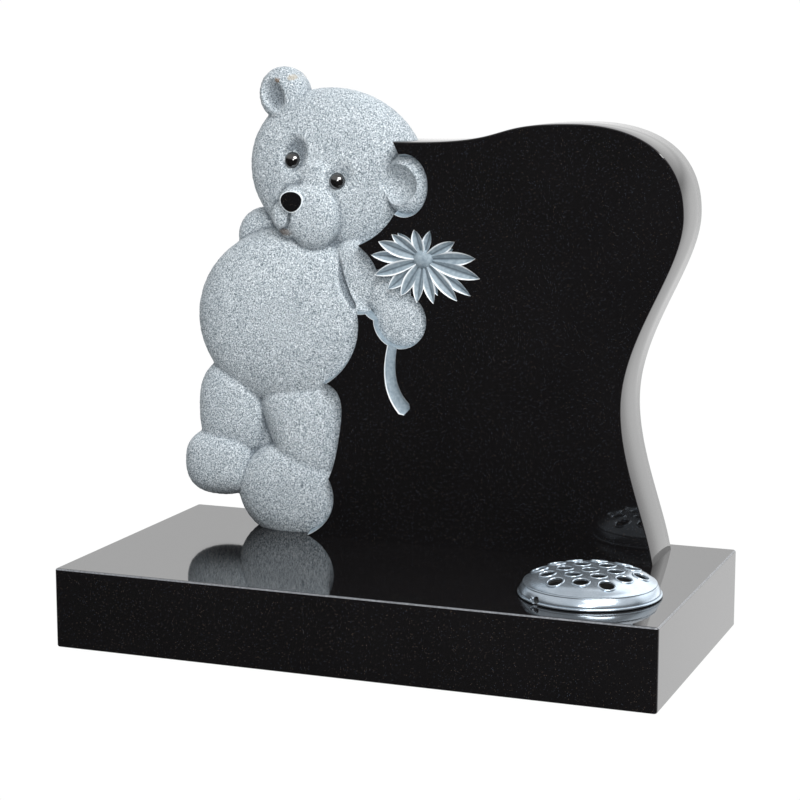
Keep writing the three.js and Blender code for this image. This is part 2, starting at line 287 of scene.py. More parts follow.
def peckedGranite(name):
    f = Finish(name)
    grain = f.noise(680.0, 3.0, 0.65)
    pits = f.cells(400.0, "Distance")
    fine = f.noise(1700.0, 2.0, 0.6)
    patch = f.noise(22.0, 2.0)
    mottled = grain * 0.62 + fine * 0.38
    stone = f.ramp(mottled, [(0.35, (0.02, 0.028, 0.036)), (0.44, (0.21, 0.26, 0.295)),
                             (0.53, (0.56, 0.62, 0.665)), (0.62, (0.92, 0.96, 0.99))])
    pitted = f.blend(f.step(pits, 0.30, 0.08) * 0.65, stone, (0.11, 0.125, 0.14))
    toned = f.blend(f.step(patch, 0.3, 0.7) * 0.22, pitted, (0.50, 0.53, 0.56), "MULTIPLY")
    # painted shade: the pecked stone darkened in its creases, by how deep each place lies in one, with a
    # little of the grime crevices hold
    crease = f.node("ShaderNodeAttribute", {"attribute_name": "crease"}, {}, "Fac")
    toned = f.blend(f.step(crease, 0.1, 1.3) * 0.75, toned, (0.22, 0.25, 0.28), "MULTIPLY")
    height = grain * 0.6 + fine * 0.25 + f.step(pits, 0.0, 0.4) * 0.3
    x = f.axis("X") / mm
    z = (f.axis("Z") - footZ) / mm
    # the iron spots, and the painted shade of the mouth
    for at, half, tint, strength in stainsAndMouthShade:
        across = (x - at[0]) / half[0]
        along = (z - at[1]) / half[1]
        reach = (across ** 2 + along ** 2) ** 0.5 + (grain - 0.5) * 1.6
        toned = f.blend(f.step(reach, 1.0, 0.45) * strength, toned, tint)
    return f.feed(baseColor=toned, roughness=0.86, normal=f.bump(height, 0.9, 0.0010))


def frostedGranite(name):
    f = Finish(name)
    depth = f.axis("Y") - faceY
    brush = f.noise(260.0, 4.0, 0.6)
    tone = f.ramp(brush, [(0.3, (0.18, 0.235, 0.28)), (0.7, (0.33, 0.40, 0.45))])
    fromMiddle = f.node("ShaderNodeUVMap", {"uv_map": "across"}, {})
    across = f.node("ShaderNodeSeparateXYZ", {}, {0: fromMiddle}, "X")
    # painted shade: a dark line along the bottom of each petal's valley
    valleyShade = f.step(across, 0.3, 0.04) * f.step(across, 0.001, 0.02)
    valleyShaded = f.blend(valleyShade * 0.8, tone, (0.08, 0.11, 0.135))
    arris = f.step(depth, 0.85 * mm, 0.45 * mm)
    edged = f.blend(f.step(across, 0.66, 0.9), valleyShaded, (0.86, 0.91, 0.94))
    colour = f.blend(arris, edged, (0.93, 0.95, 0.96))
    return f.feed(baseColor=colour, roughness=0.62, normal=f.bump(brush, 0.25, 0.0006))


# bruised white by the chisel, round the eyes and the nose
def bruisedGranite(name):
    f = Finish(name)
    grain = f.noise(900.0, 3.0, 0.6)
    colour = f.ramp(grain, [(0.3, (0.55, 0.61, 0.65)), (0.62, (0.88, 0.92, 0.94))])
    return f.feed(baseColor=colour, roughness=0.8, normal=f.bump(grain, 0.3, 0.0006))


# painted highlight: the eased arrises coloured grey against the black polish
def easedHighlightGranite(name):
    f = Finish(name)
    grain = f.noise(700.0, 3.0, 0.6)
    colour = f.ramp(grain, [(0.35, (0.10, 0.105, 0.115)), (0.65, (0.24, 0.25, 0.27))])
    return f.feed(baseColor=colour, roughness=0.32, ior=1.55)


# spun on the pot's upright axis, with a dull bloom
def spunMetal(name, roughLow, roughHigh, dark, light):
    f = Finish(name)
    x = f.axis("X") - potMiddle[0]
    y = f.axis("Y") - potMiddle[1]
    radius = (x * x + y * y) ** 0.5
    ringPlace = f.node("ShaderNodeCombineXYZ", {}, {0: radius * 1000.0, 1: f.axis("Z") * 160.0})
    rings = f.node("ShaderNodeTexNoise", {}, {"Vector": ringPlace, "Scale": 1.7, "Detail": 3.0}, "Fac")
    smear = f.noise(38.0, 3.0)
    rough = roughLow + (roughHigh - roughLow) * (rings * 0.45 + smear * 0.55)
    colour = f.ramp(smear, [(0.3, dark), (0.7, light)])
    return f.feed(baseColor=colour, metallic=0.82, roughness=rough, normal=f.bump(rings, 0.05, 0.0002))


# the bear: each form is a pebble, rounded in front, drawn in a little towards its flat back
# at and half in x and height, top and dome in depth, sunk and groove for its pocket in the tablet
bearForms = {
    "head": {"at": (-111, 379), "half": (97, 85), "tilt": 14, "top": 13, "dome": 31,
             "sunk": 3, "groove": 12},
    "leftEar": {"at": (-168, 458), "half": (26, 28), "top": 20, "dome": 16, "back": 62},
    "rightEar": {"at": (-21.5, 368.5), "half": (26.5, 33), "top": 3, "dome": 20,
                 "sunk": 2, "groove": 8},
    "bridge": {"at": (-124, 370), "half": (17, 24), "tilt": 24, "top": 8, "dome": 12},
    "muzzle": {"at": (-127.5, 335), "half": (30.5, 35), "tilt": -6, "top": 1.2, "dome": 17},
    "leftCheek": {"at": (-159, 333.5), "half": (15, 17), "top": 4.5, "dome": 16},
    "lip": {"at": (-155, 317.5), "half": (11, 7), "tilt": 12, "top": 8, "dome": 12},
    "noseBed": {"at": (-145, 348), "half": (19, 17), "top": 0.6, "dome": 14},
    "shoulder": {"at": (-197, 308), "half": (31, 31), "top": 36, "dome": 18},
    "chest": {"at": (-118, 282), "half": (62, 44), "top": 20, "dome": 24, "sunk": 3, "groove": 9},
    "belly": {"at": (-158, 224), "half": (110, 97), "top": 1, "dome": 40, "sunk": 3, "groove": 9},
    "arm": {"at": (-78, 273), "half": (29, 40), "tilt": -28, "top": 10, "dome": 20,
            "sunk": 2, "groove": 9},
    "wrist": {"at": (-42, 257), "half": (30, 27), "tilt": -40, "top": 8, "dome": 20,
              "sunk": 2, "groove": 9},
    "paw": {"at": (-26, 231.5), "half": (38, 38), "top": 4, "dome": 26, "sunk": 1.5, "groove": 5},
    "rightThigh": {"at": (-135, 104), "half": (49, 70), "tilt": -5, "square": 3, "taper": 0.42,
                   "top": 5, "dome": 34, "sunk": 3, "groove": 9},
    "lap": {"at": (-188, 104), "half": (32, 46), "top": 24, "dome": 14},
    "rightFoot": {"at": (-155, 41), "half": (66, 55), "top": 1, "dome": 36, "sunk": 3, "groove": 9},
    "leftThigh": {"at": (-227, 124), "half": (42, 54), "square": 2.6, "top": 11, "dome": 32},
    "leftFoot": {"at": (-241.5, 66), "half": (41, 36), "square": 2.5, "top": 4, "dome": 30},
}
carving = {
    "pillow": 2.6,            # exponent of the rounding, 2 is an ellipsoid
    "backRound": 22,
    "backGap": 1.0,           # the pecked back lies this far inside the polished one
    "sides": 72,
    "rows": 20,               # round the front of a form
    "backRows": 8,
    "bowlRows": 10,
    "overcut": 3,             # how far cutters stand out of the face
    "voxel": 1.62,
    "softening": 9,           # smoothing rounds that blend the creases
    "creaseReach": 60,        # smoothing rounds that tell a crease from a swell
    "peckSize": 3.6,
    "peckHeight": 1.0,
}
hollows = {
    "leftEarBowl": {"at": (-176, 457), "half": (16, 23), "tilt": -30, "top": 16, "dome": 12},
    "rightEarBowl": {"at": (-36, 369.5), "half": (27, 21.5), "top": 2, "dome": 20},
    "leftSocket": {"at": (-150, 398), "half": (21, 28), "tilt": 14, "top": 5, "dome": 16},
    "rightSocket": {"at": (-94, 377), "half": (22, 22), "top": 5, "dome": 11},
}
# cut lines: x, height and half-width, with the depth of their edges and of their dish
armCrease = {
    "route": [(-101, 300, 5), (-98, 288, 7), (-95, 273, 7.5), (-88, 254, 7), (-79, 241, 4.5)],
    "edge": 5, "valley": 12,
}
mouthLine = {
    "route": [(-148, 341, 1.3), (-150, 333, 1.7), (-151.5, 326, 2.2), (-154, 321, 2.4), (-159, 319, 2.2),
              (-166, 319.5, 1.6)],
    "edge": 7, "valley": 10,
}
muzzleCrease = {
    "route": [(-130, 356), (-119.7, 352.1), (-105.3, 345.4), (-97.6, 332.3), (-98.8, 318.9), (-109, 307)],
    "radius": 6, "bite": 7,
}


def pebbleProfile(form):
    back = min(form.get("back", 1000), stoneThickness / mm - carving["backGap"])
    inset = min(0.35, carving["backRound"] / min(form["half"]))
    power = 2 / carving["pillow"]
    rows = carving["rows"]
    front = []
    for i in range(rows + 1):
        turn = i / rows * math.pi / 2
        drop = 1 - math.cos(turn) ** power
        front.append((math.sin(turn) ** power, form["top"] + form["dome"] * drop))
    wide = form["top"] + form["dome"]
    rear = []
    for i in range(1, carving["backRows"] + 1):
        turn = i / carving["backRows"] * math.pi / 2
        rear.append((1 - inset * (1 - math.cos(turn)), wide + (back - wide) * math.sin(turn)))
    return front + rear + [(0, back)]


def pocketProfile(form):
    bottom = form["top"] + form["groove"]
    inner = (1 - (1 - form["groove"] / form["dome"]) ** carving["pillow"]) ** (1 / carving["pillow"])
    slope = form["sunk"] / min(form["half"]) / bottom
    front = -2
    return [(0, front), (inner + slope * (bottom - front), front), (inner, bottom), (0, bottom)]


def bowlProfile(form):
    front = form["top"] - 30
    rim = [(0, front), (1.15, front)]
    for i in range(carving["bowlRows"]):
        turn = i / carving["bowlRows"] * math.pi / 2
        rim.append((math.cos(turn), form["top"] + form["dome"] * math.sin(turn)))
    return rim + [(0, form["top"] + form["dome"])]


# squares a round outline off and narrows it towards its foot
def shapeOutline(obj, square, taper):
    for vertex in obj.data.vertices:
        x, z = vertex.co.x, vertex.co.z
        reach = math.hypot(x, z)
        if reach > 1e-6:
            grow = (abs(x / reach) ** square + abs(z / reach) ** square) ** (-1 / square)
            vertex.co.z = z * grow
            vertex.co.x = x * grow * (1 + taper * z * grow)


# turned about the depth axis, then scaled, tilted and moved to its place on the stone
def reliefForm(name, form, profile):
    obj = turnProfile(name, [(r, a * mm) for r, a in profile], carving["sides"])
    shapeOutline(obj, form.get("square", 2), form.get("taper", 0))
    obj.scale = (form["half"][0] * mm, 1, form["half"][1] * mm)
    obj.rotation_euler = (0, math.radians(form.get("tilt", 0)), 0)
    obj.location = (form["at"][0] * mm, 0, form["at"][1] * mm)
    applyPlace(obj)
    return obj


# a round-bottomed groove that follows the bear's surface
def crease(name, line):
    curve = bpy.data.curves.new(name, "CURVE")
    curve.dimensions = "3D"
    curve.bevel_depth = line["radius"] * mm
    curve.use_fill_caps = True
    spline = curve.splines.new("NURBS")
    spline.points.add(len(line["route"]) - 1)
    spline.use_endpoint_u = True
    for point, (x, z) in zip(spline.points, line["route"]):
        surface = min(depthAt(form, x, z) for form in bearForms.values())
        point.co = (x * mm, (surface + line["bite"] - line["radius"]) * mm, z * mm, 1)
    obj = bpy.data.objects.new(name, curve)
    bpy.context.collection.objects.link(obj)
    makeActive(obj)
    bpy.ops.object.convert(target="MESH")
    editAll(obj)
    bpy.ops.mesh.normals_make_consistent(inside=False)
    leaveEdit()
    return obj


def roughBear():
    parts = [reliefForm(name, form, pebbleProfile(form)) for name, form in bearForms.items()]
    bear = joinAll(parts, "bear")
    applyModifier(bear, "REMESH", mode="VOXEL", voxel_size=carving["voxel"] * mm)
    for name, form in hollows.items():
        combine(bear, reliefForm(name, form, bowlProfile(form)), "DIFFERENCE")
    for name, line in (("mouth", mouthLine), ("armCrease", armCrease)):
        combine(bear, cutLine(name, line), "DIFFERENCE")
    combine(bear, crease("muzzleCrease", muzzleCrease), "DIFFERENCE")
    applyModifier(bear, "SMOOTH", factor=0.5, iterations=carving["softening"])
    print("bear:", triangles(bear), "triangles")
    return bear


# how far each place lies in a hollow: what heavy smoothing would fill, in millimetres; the pecked finish
# paints shade into the creases by it
def markCreases(bear):
    makeActive(bear)
    bpy.ops.object.duplicate()
    soft = bpy.context.object
    applyModifier(soft, "SMOOTH", factor=0.5, iterations=carving["creaseReach"])
    marks = bear.data.attributes.new("crease", "FLOAT", "POINT")
    for vertex, filled in zip(bear.data.vertices, soft.data.vertices):
        marks.data[vertex.index].value = (filled.co - vertex.co).dot(vertex.normal) / mm
    bpy.data.objects.remove(soft, do_unlink=True)


def peckSurface(bear):
    grain = bpy.data.textures.new("peckGrain", "CLOUDS")
    grain.noise_scale = carving["peckSize"] * mm
    grain.noise_depth = 2
    applyModifier(bear, "DISPLACE", texture=grain, texture_coords="LOCAL", mid_level=0.5,
                  strength=carving["peckHeight"] * mm)


# the tablet: its outline in x and height above the base
tablet = {
    "footRight": 242.5, "innerLeft": -130, "arris": 1.2, "curveSteps": 40,
    "waist": (207, 155.6), "hump": (266.4, 344.3), "crest": (155, 432.8), "dip": (-26, 412.3),
}


def tabletOutline():
    foot = (tablet["footRight"], 0)
    waist, hump, crest, dip = (tablet[key] for key in ("waist", "hump", "crest", "dip"))
    stretches = [
        (foot, (foot[0] - 7.5, 43.6), (waist[0], waist[1] - 55), waist),
        (waist, (waist[0], waist[1] + 72), (hump[0], hump[1] - 53.5), hump),
        (hump, (hump[0], hump[1] + 65), (crest[0] + 60, crest[1]), crest),
        (crest, (crest[0] - 96, crest[1]), (dip[0] + 125, dip[1]), dip),
    ]
    points = [(tablet["innerLeft"], 0)]
    for knots in stretches:
        curve = interpolate_bezier(*[Vector((*knot, 0)) for knot in knots], tablet["curveSteps"])
        points += [(point.x, point.y) for point in curve[:-1]]
    return points + [dip, (tablet["innerLeft"], dip[1])]


def polishedTablet():
    outline = [(x * mm, 0, z * mm) for x, z in tabletOutline()]
    mesh = bpy.data.meshes.new("tablet")
    mesh.from_pydata(outline, [], [list(range(len(outline)))])
    obj = bpy.data.objects.new("tablet", mesh)
    bpy.context.collection.objects.link(obj)
    editAll(obj)
    bpy.ops.mesh.extrude_region_move(TRANSFORM_OT_translate={"value": (0, stoneThickness, 0)})
    bpy.ops.mesh.select_all(action="SELECT")
    bpy.ops.mesh.normals_make_consistent(inside=False)
    leaveEdit()
    bevelEdges(obj, tablet["arris"] * mm, onFaces)
    return obj


# bevel the edges whose two ends pass a test
def bevelEdges(obj, width, test, segments=2):
    editAll(obj)
    bpy.ops.mesh.select_mode(type="EDGE")
    bpy.ops.mesh.select_all(action="DESELECT")
    leaveEdit()
    for edge in obj.data.edges:
        edge.select = test(*(obj.data.vertices[i].co for i in edge.vertices))
    bpy.ops.object.mode_set(mode="EDIT")
    bpy.ops.mesh.bevel(offset=width, segments=segments, profile=0.5, affect="EDGES")
    leaveEdit()


def onFaces(a, b):
    flat = abs(a.y - b.y) < 1e-6
    low = a.z < 1e-6 and b.z < 1e-6
    return flat and not low


# flower and stem: dished blades whose edges lie just under the polished face
flower = {
    "at": (-3, 294.7), "edge": 0.25, "valley": 3.8, "rearDrop": 1.2, "rootDrop": 4.5,
    "steps": 12,              # along a petal
    "root": 24,               # how deep petals and boss reach into the stone
    "boss": (10.8, 9.6, 6),   # half-width, half-height and rise
    "bossDepth": 6.9, "bossRows": 10,
}
# each petal's direction in degrees, length and half-width
frontPetals = [(104, 31, 6), (28, 40.6, 6), (3, 58, 7.5), (-15, 65, 7.5), (-46, 56, 6.5), (-73, 46, 6),
               (-96, 44, 6), (-120, 43, 6.5), (-161, 53, 6.5), (160, 49, 7), (142, 40, 6)]
rearPetals = [(72, 31, 5), (-33, 63.5, 6), (-139, 48, 7.5), (177, 54, 6.5), (-63, 40, 5), (19, 36.5, 6),
              (134, 36, 6)]
stem = {
    "route": [(-33, 210), (-41, 176), (-36, 154), (-18, 138)],
    "half": (5.2, 8.2), "steps": 16, "tip": 0.6, "edge": 0.2, "valley": 3.2, "hollow": 5,
}


# a trough along a centre line: sections of (x, z, half-width), edges at one depth, middle deeper
# its UV map runs from the middle to the edges, and one without the valley's painted shade stays clear of it
def blade(name, sections, edge, valley, top, hollow=1.15, rootDrop=0, across=8, valleyShaded=True):
    points = []
    faces = []
    count = len(sections)
    for index, (x, z, half) in enumerate(sections):
        before = sections[max(0, index - 1)]
        after = sections[min(count - 1, index + 1)]
        along = Vector((after[0] - before[0], after[1] - before[1])).normalized()
        for j in range(across + 1):
            side = 2 * j / across - 1
            dish = (1 - abs(side) ** hollow) * min(1, half / 4)
            sunk = edge + rootDrop * max(0, 1 - index / count / 0.55) ** 1.5
            points.append(((x - along.y * half * side) * mm, (sunk + valley * dish) * mm,
                           (z + along.x * half * side) * mm))
    for index in range(count - 1):
        for j in range(across):
            a = index * (across + 1) + j
            faces.append((a, a + 1, a + across + 2, a + across + 1))
    mesh = bpy.data.meshes.new(name)
    mesh.from_pydata(points, [], faces)
    fromMiddle = mesh.uv_layers.new(name="across")
    for loop in mesh.loops:
        side = 2 * (loop.vertex_index % (across + 1)) / across - 1
        share = abs(side) if valleyShaded else 0.35 + 0.6 * abs(side) ** 4
        fromMiddle.data[loop.index].uv = (max(0.02, share), 0)
    obj = bpy.data.objects.new(name, mesh)
    bpy.context.collection.objects.link(obj)
    editAll(obj)
    bpy.ops.mesh.extrude_region_move(TRANSFORM_OT_translate={"value": (0, 0, 0)})
    leaveEdit()
    for vertex in obj.data.vertices:
        if vertex.select:
            vertex.co.y = top * mm
    editAll(obj)
    bpy.ops.mesh.normals_make_consistent(inside=False)
    leaveEdit()
    return obj


def petalSections(direction, length, width):
    turn = math.radians(direction)
    sections = []
    for i in range(flower["steps"] + 1):
        along = i / flower["steps"]
        share = math.sin(math.pi * (0.06 + 0.94 * along) ** 1.3) ** 0.8 if i < flower["steps"] else 0
        x = flower["at"][0] + length * along * math.cos(turn)
        z = flower["at"][1] + length * along * math.sin(turn)
        sections.append((x, z, max(0.12, width * share)))
    return sections


def stemSections():
    steps = stem["steps"]
    start, end = stem["half"]
    route = interpolate_bezier(*[Vector((*knot, 0)) for knot in stem["route"]], steps + 1)
    sections = []
    for index, point in enumerate(route):
        half = start + (end - start) * index / steps
        half *= stem["tip"] if index == steps else 1
        sections.append((point.x, point.y, half))
    return sections


def cutLine(name, line):
    return blade(name, line["route"], line["edge"], line["valley"], -carving["overcut"])


def petalLayer(name, petals, edge, asCutter):
    top = -carving["overcut"] if asCutter else flower["root"]
    blades = []
    for index, petal in enumerate(petals):
        sections = petalSections(*petal)
        blades.append(blade(f"{name}{index}", sections, edge, flower["valley"], top,
                            rootDrop=flower["rootDrop"]))
    return fuse(blades)


def flowerBoss():
    wide, high, rise = flower["boss"]
    profile = []
    for i in range(flower["bossRows"] + 1):
        turn = i / flower["bossRows"] * math.pi / 2
        profile.append((math.sin(turn), (flower["bossDepth"] - rise * math.cos(turn)) * mm))
    root = flower["root"] * mm
    obj = turnProfile("boss", profile + [(1, root), (0, root)], 40)
    obj.scale = (wide * mm, 1, high * mm)
    obj.location = (flower["at"][0] * mm, 0, flower["at"][1] * mm)
    applyPlace(obj)
    return obj


# eyes by x, height and how far their middles lie behind the head's own surface, and the nose
eyes = {"at": [(-152, 390, 8.6), (-100.5, 370, 5.0)], "radius": 9.6,
        "lid": (9.2, 0.9), "lidLead": 1.5}
nose = {
    "at": (-145.5, 349), "half": (11.6, 10.3), "pinch": 0.16, "sides": 40, "length": 24,
    "rim": 1.1, "rimFront": 0.9, "front": 0.2,
}


def depthAt(form, x, z):
    tilt = math.radians(form.get("tilt", 0))
    right, up = x - form["at"][0], z - form["at"][1]
    across = (right * math.cos(tilt) - up * math.sin(tilt)) / form["half"][0]
    along = (right * math.sin(tilt) + up * math.cos(tilt)) / form["half"][1]
    reach = math.hypot(across, along)
    if reach >= 1:
        return stoneThickness / mm
    drop = 1 - (1 - reach ** carving["pillow"]) ** (1 / carving["pillow"])
    return form["top"] + form["dome"] * drop


def eyeBall(index, x, z, sink):
    depth = depthAt(bearForms["head"], x, z) + sink
    deselectAll()
    bpy.ops.mesh.primitive_uv_sphere_add(segments=40, ring_count=24, radius=eyes["radius"] * mm)
    ball = bpy.context.object
    ball.name = f"eye{index}"
    ball.location = (x * mm, depth * mm, z * mm)
    applyPlace(ball)
    return ball


def eyeLid(index, x, z, sink):
    depth = depthAt(bearForms["head"], x, z) + sink - eyes["lidLead"]
    deselectAll()
    bpy.ops.mesh.primitive_torus_add(major_segments=48, minor_segments=12, major_radius=eyes["lid"][0] * mm,
                                     minor_radius=eyes["lid"][1] * mm, rotation=(math.pi / 2, 0, 0))
    ring = bpy.context.object
    ring.name = f"eyeLid{index}"
    ring.location = (x * mm, depth * mm, z * mm)
    applyPlace(ring)
    return ring


def noseStud(name, rim, front):
    count = nose["sides"]
    points = []
    for i in range(count):
        turn = 2 * math.pi * i / count
        wide = nose["half"][0] * (1 + nose["pinch"] * math.sin(turn)) + rim
        high = nose["half"][1] + rim
        x = nose["at"][0] + wide * math.cos(turn)
        z = nose["at"][1] + high * math.sin(turn)
        points.append((x * mm, front * mm, z * mm))
    mesh = bpy.data.meshes.new(name)
    mesh.from_pydata(points, [], [list(range(count))])
    obj = bpy.data.objects.new(name, mesh)
    bpy.context.collection.objects.link(obj)
    editAll(obj)
    bpy.ops.mesh.extrude_region_move(TRANSFORM_OT_translate={"value": (0, nose["length"] * mm, 0)})
    bpy.ops.mesh.select_all(action="SELECT")
    bpy.ops.mesh.normals_make_consistent(inside=False)
    leaveEdit()
    return obj


def sinkPockets(stone, slots):
    for name, form in bearForms.items():
        if form.get("sunk"):
            pocket = reliefForm(name + "Pocket", form, pocketProfile(form))
            setSlots(pocket, slots, frostedSlot)
            combine(stone, pocket, "DIFFERENCE")
    gap = cutLine("armGap", armCrease)
    setSlots(gap, slots, peckedSlot)
    combine(stone, gap, "DIFFERENCE")


def carveFlower(stone, slots):
    layers = [("rearPetal", rearPetals, flower["edge"] + flower["rearDrop"]),
              ("frontPetal", frontPetals, flower["edge"])]
    for name, petals, edge in layers:
        for asCutter in (False, True):
            piece = petalLayer(name, petals, edge, asCutter)
            setSlots(piece, slots, frostedSlot)
            combine(stone, piece, "DIFFERENCE" if asCutter else "UNION")
    boss = flowerBoss()
    setSlots(boss, slots, frostedSlot)
    combine(stone, boss, "UNION")
    trough = blade("stem", stemSections(), stem["edge"], stem["valley"], -carving["overcut"],
                   stem["hollow"], valleyShaded=False)
    setSlots(trough, slots, frostedSlot)
    combine(stone, trough, "DIFFERENCE")


def setFace(stone, slots):
    for index, place in enumerate(eyes["at"]):
        ball = eyeBall(index, *place)
        setSlots(ball, slots, glassySlot)
        rim = eyeLid(index, *place)
        setSlots(rim, slots, bruisedSlot)
        combine(stone, rim, "UNION")
        combine(stone, ball, "UNION")
    studs = [("noseRim", nose["rim"], nose["rimFront"], bruisedSlot),
             ("nose", 0, nose["front"], polishedSlot)]
    for name, rim, front, slot in studs:
        stud = noseStud(name, rim, front)
        setSlots(stud, slots, bruisedSlot)
        for face in stud.data.polygons:
            if face.normal.y < -0.9:
                face.material_index = slot
        combine(stone, stud, "UNION")


# cut off what would reach below the base's top
def levelFoot(stone, slots):
    deselectAll()
    bpy.ops.mesh.primitive_cube_add(size=1.0, location=(0, 0, -0.25))
    ground = bpy.context.object
    ground.scale = (2, 2, 0.5)
    applyPlace(ground)
    setSlots(ground, slots, polishedSlot)
    combine(stone, ground, "DIFFERENCE")


def carvedHeadstone(slots):
    bear = roughBear()
    markCreases(bear)
    peckSurface(bear)
    setSlots(bear, slots, peckedSlot)
    stone = polishedTablet()
    setSlots(stone, slots, polishedSlot)
    sinkPockets(stone, slots)
    combine(stone, bear, "UNION")
    bowl = reliefForm("earBowl", hollows["rightEarBowl"], bowlProfile(hollows["rightEarBowl"]))
    setSlots(bowl, slots, peckedSlot)
    combine(stone, bowl, "DIFFERENCE")
    print("tablet and bear:", triangles(stone), "triangles")
    carveFlower(stone, slots)
    setFace(stone, slots)
    levelFoot(stone, slots)
    stone.name = "carvedHeadstone"
    stone.location = (0, faceY, footZ)
    applyPlace(stone)
    makeActive(stone)
    bpy.ops.object.shade_smooth_by_angle(angle=math.radians(34))
    for face in stone.data.polygons:
        if abs(face.normal.y) > 0.9999 and face.material_index == polishedSlot:
            face.use_smooth = False
    print("headstone:", triangles(stone), "triangles")
    return stone


stoneSlots = [polishedGranite("polishedGranite"), peckedGranite("peckedGranite"),
              frostedGranite("frostedGranite"), bruisedGranite("bruisedGranite"),
              polishedGranite("glassyGranite", 2.4)]
stone = carvedHeadstone(stoneSlots)
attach(stone, "root")
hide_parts("headstone")


# the base: a sawn slab with eased arrises, drilled for the pot
base = {"arris": 2.4, "cornerRound": 3.5, "wellRadius": 55.5, "wellSides": 96, "easedHighlightSlot": 1}


def isUpright(a, b):
    return abs(a.z - b.z) > 0.01


def isLevel(a, b):
    return abs(a.z - b.z) < 1e-5


def slabBase():
    low, high = (Vector(corner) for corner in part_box("base_slab"))
    deselectAll()
    bpy.ops.mesh.primitive_cube_add(size=1.0, location=(low + high) / 2)
    slab = bpy.context.object
    slab.name = "polishedBase"
    slab.scale = high - low
    applyPlace(slab)
    bevelEdges(slab, base["cornerRound"] * mm, isUpright, 5)
    bevelEdges(slab, base["arris"] * mm, isLevel, 4)
    deselectAll()
    bpy.ops.mesh.primitive_cylinder_add(vertices=base["wellSides"], radius=base["wellRadius"] * mm,
                                        depth=0.4, location=(*potMiddle, low.z + 0.04))
    combine(slab, bpy.context.object, "DIFFERENCE")
    granites = [polishedGranite("polishedBaseGranite"), easedHighlightGranite("easedHighlightBaseGranite")]
    setSlots(slab, granites, polishedSlot)
    # the eased arrises take the grey of the painted highlight
    for face in slab.data.polygons:
        if 0.25 < face.normal.z < 0.97:
            face.material_index = base["easedHighlightSlot"]
    makeActive(slab)
    bpy.ops.object.shade_flat()
    return slab


# the pot: a spun metal cup sunk in the base, hanging by its flange
pot = {
    "radius": 54, "depth": 71, "metal": 1.5, "flange": 64.6, "corner": 6, "cornerRows": 6, "ease": 0.4,
    "steps": 96, "roughness": (0.38, 0.55), "dark": (0.10, 0.095, 0.09), "light": (0.22, 0.22, 0.22),
}


def spunPot():
    outer, wall, depth, corner = pot["radius"], pot["metal"], pot["depth"], pot["corner"]
    flange, ease, rows = pot["flange"], pot["ease"], pot["cornerRows"]
    profile = [(0, -depth)]
    middle = (outer - corner, corner - depth)
    for i in range(rows + 1):
        turn = i / rows * math.pi / 2
        profile.append((middle[0] + corner * math.sin(turn), middle[1] - corner * math.cos(turn)))
    profile += [(outer, 0), (flange - ease, 0), (flange, ease), (flange, wall - ease),
                (flange - ease, wall), (outer + 1, wall), (outer - wall, wall - 1.6)]
    inner = corner - wall
    for i in range(rows + 1):
        turn = (1 - i / rows) * math.pi / 2
        profile.append((middle[0] + inner * math.sin(turn), middle[1] - inner * math.cos(turn)))
    profile.append((0, wall - depth))
    cup = turnProfile("spunPot", [(r * mm, z * mm) for r, z in profile], pot["steps"], True)
    cup.location = (*potMiddle, footZ)
    applyPlace(cup)
    makeActive(cup)
    bpy.ops.object.shade_smooth_by_angle(angle=math.radians(40))
    cup.data.materials.append(spunMetal("potMetal", *pot["roughness"], pot["dark"], pot["light"]))
    return cup


# the lid: a spun dome with a rolled rim, and holes whose edges are turned over
lid = {
    "radius": 68.3, "rimTop": 8, "domeRadius": 66, "domeEnd": 61.5, "rise": 15.4, "power": 5.2,
    "metal": 1.3, "foot": 0.5, "domeRows": 22, "steps": 160,
    "pitch": 24.2, "bore": 7.1, "rings": 2, "turn": 0.08,
    "collar": (8.1, 1.0), "collarSink": 0.5,
    "notchAngle": -2.13,
    "notch": (9, 8.4, 8.2),   # deep, wide and high
    "tab": {"angle": -2.215, "inset": 1.5, "height": 4.4, "curl": 1.8, "wire": 0.75},
    "roughness": (0.16, 0.28), "dark": (0.46, 0.54, 0.62), "light": (0.60, 0.68, 0.76),
}
lidRidge = [(62.3, 12.5), (62.9, 12.3), (63.3, 11.8), (63.3, 11.2), (63.2, 10.8), (63.4, 10.4)]
lidBand = [(64.0, 9.8), (65.0, 8.2), (65.9, 6.4), (66.6, 4.8), (66.7, 4.3)]


def domeHeight(r):
    return lid["rimTop"] + lid["rise"] * (1 - (r / lid["domeRadius"]) ** lid["power"])


def lidProfile():
    wall, radius, foot, rows = lid["metal"], lid["radius"], lid["foot"], lid["domeRows"]
    reaches = [lid["domeEnd"] * (i / rows) ** 0.75 for i in range(rows + 1)]
    outer = [(r, domeHeight(r)) for r in reaches]
    bead = []
    for i in range(10):
        turn = math.radians(110 - i * 22)
        bead.append((radius - 1.2 + 1.2 * math.cos(turn), foot + 1.2 + 1.2 * math.sin(turn)))
    skirt = [(radius - 2.6, foot + 0.1), (radius - 3.2, foot + 0.8), (64.8, 5.0), (62.6, 9.4), (61.6, 10.8)]
    inner = [(r * (1 - wall / 64), z - wall) for r, z in reversed(outer)]
    return outer + lidRidge + lidBand + bead + skirt + inner


def lidHoles():
    places = []
    rings = lid["rings"]
    c, s = math.cos(lid["turn"]), math.sin(lid["turn"])
    for row in range(-rings, rings + 1):
        for column in range(-rings, rings + 1):
            if abs(row + column) <= rings:
                x = lid["pitch"] * (column + row / 2)
                y = lid["pitch"] * row * math.sqrt(3) / 2
                places.append((x * c - y * s, x * s + y * c))
    return places


# the dome's surface at a hole, and its turn away from upright
def seatAt(x, y):
    r = math.hypot(x, y)
    slope = (domeHeight(r + 0.5) - domeHeight(r - 0.5)) if r > 1 else 0
    lean = Vector((-slope * x, -slope * y, max(r, 1e-6))).normalized()
    return Vector((x, y, domeHeight(r))), Vector((0, 0, 1)).rotation_difference(lean).to_euler()


